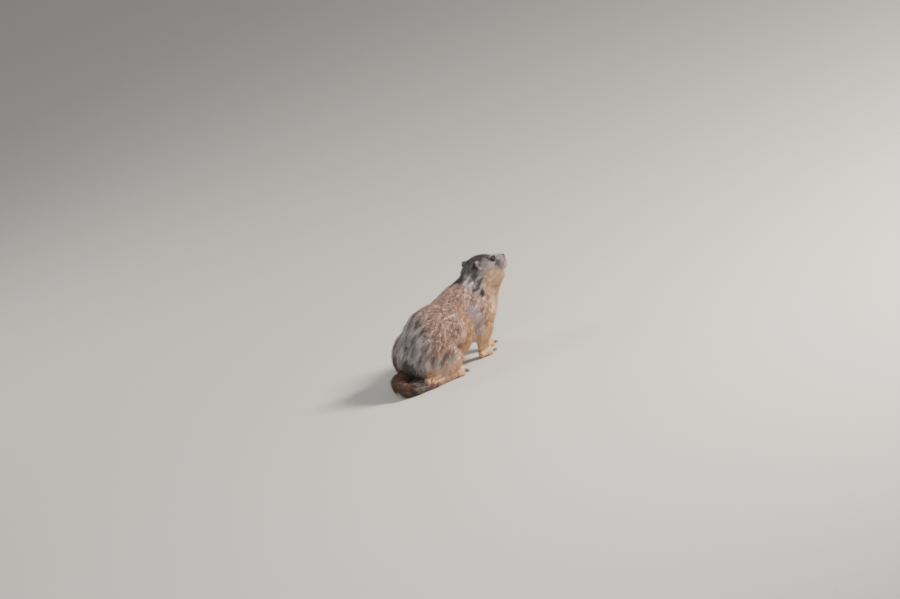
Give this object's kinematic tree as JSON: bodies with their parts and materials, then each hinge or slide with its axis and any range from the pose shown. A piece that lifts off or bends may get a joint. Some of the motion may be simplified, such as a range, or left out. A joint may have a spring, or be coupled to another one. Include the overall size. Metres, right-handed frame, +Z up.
{
  "type": "alpine marmot",
  "caption": "Life-size alpine marmot sitting on its haunches with forefeet down, head raised and tail laid round one side.",
  "frame": {"origin": "middle of the footprint of the whole animal, on the floor", "axes": "+X is the way the animal faces, +Y is its left, +Z is up"},
  "size_m": [0.3914, 0.1942, 0.2132],
  "materials": {
    "body_coat": "dense matt fur, pinkish tan and grey",
    "claw": "smooth dark horn",
    "eye": "wet, near black",
    "foot_coat": "very short matt fur, cream",
    "head_coat": "short matt fur, dark grey crown and pale muzzle",
    "nose": "moist, finely pebbled black skin",
    "rump_coat": "dense matt fur, silver grey mottled with black",
    "tail_coat": "long matt hair, brown with a dark tip"
  },
  "bodies": {
    "root": {"belly": "body_coat", "chest": "body_coat", "ear_left": "head_coat", "ear_right": "head_coat", "eye_left": "eye", "eye_right": "eye", "forefoot_left": "foot_coat", "forefoot_left_claw_1": "claw", "forefoot_left_claw_2": "claw", "forefoot_left_claw_3": "claw", "forefoot_left_claw_4": "claw", "forefoot_right": "foot_coat", "forefoot_right_claw_1": "claw", "forefoot_right_claw_2": "claw", "forefoot_right_claw_3": "claw", "forefoot_right_claw_4": "claw", "foreleg_left": "body_coat", "foreleg_right": "body_coat", "head": "head_coat", "hind_foot_left": "foot_coat", "hind_foot_left_claw_1": "claw", "hind_foot_left_claw_2": "claw", "hind_foot_left_claw_3": "claw", "hind_foot_left_claw_4": "claw", "hind_foot_left_claw_5": "claw", "hind_foot_right": "foot_coat", "hind_foot_right_claw_1": "claw", "hind_foot_right_claw_2": "claw", "hind_foot_right_claw_3": "claw", "hind_foot_right_claw_4": "claw", "hind_foot_right_claw_5": "claw", "neck": "body_coat", "nose": "nose", "rump": "rump_coat", "tail_base": "tail_coat", "tail_end": "tail_coat", "thigh_left": "rump_coat", "thigh_right": "rump_coat"}
  },
  "joints": []
}
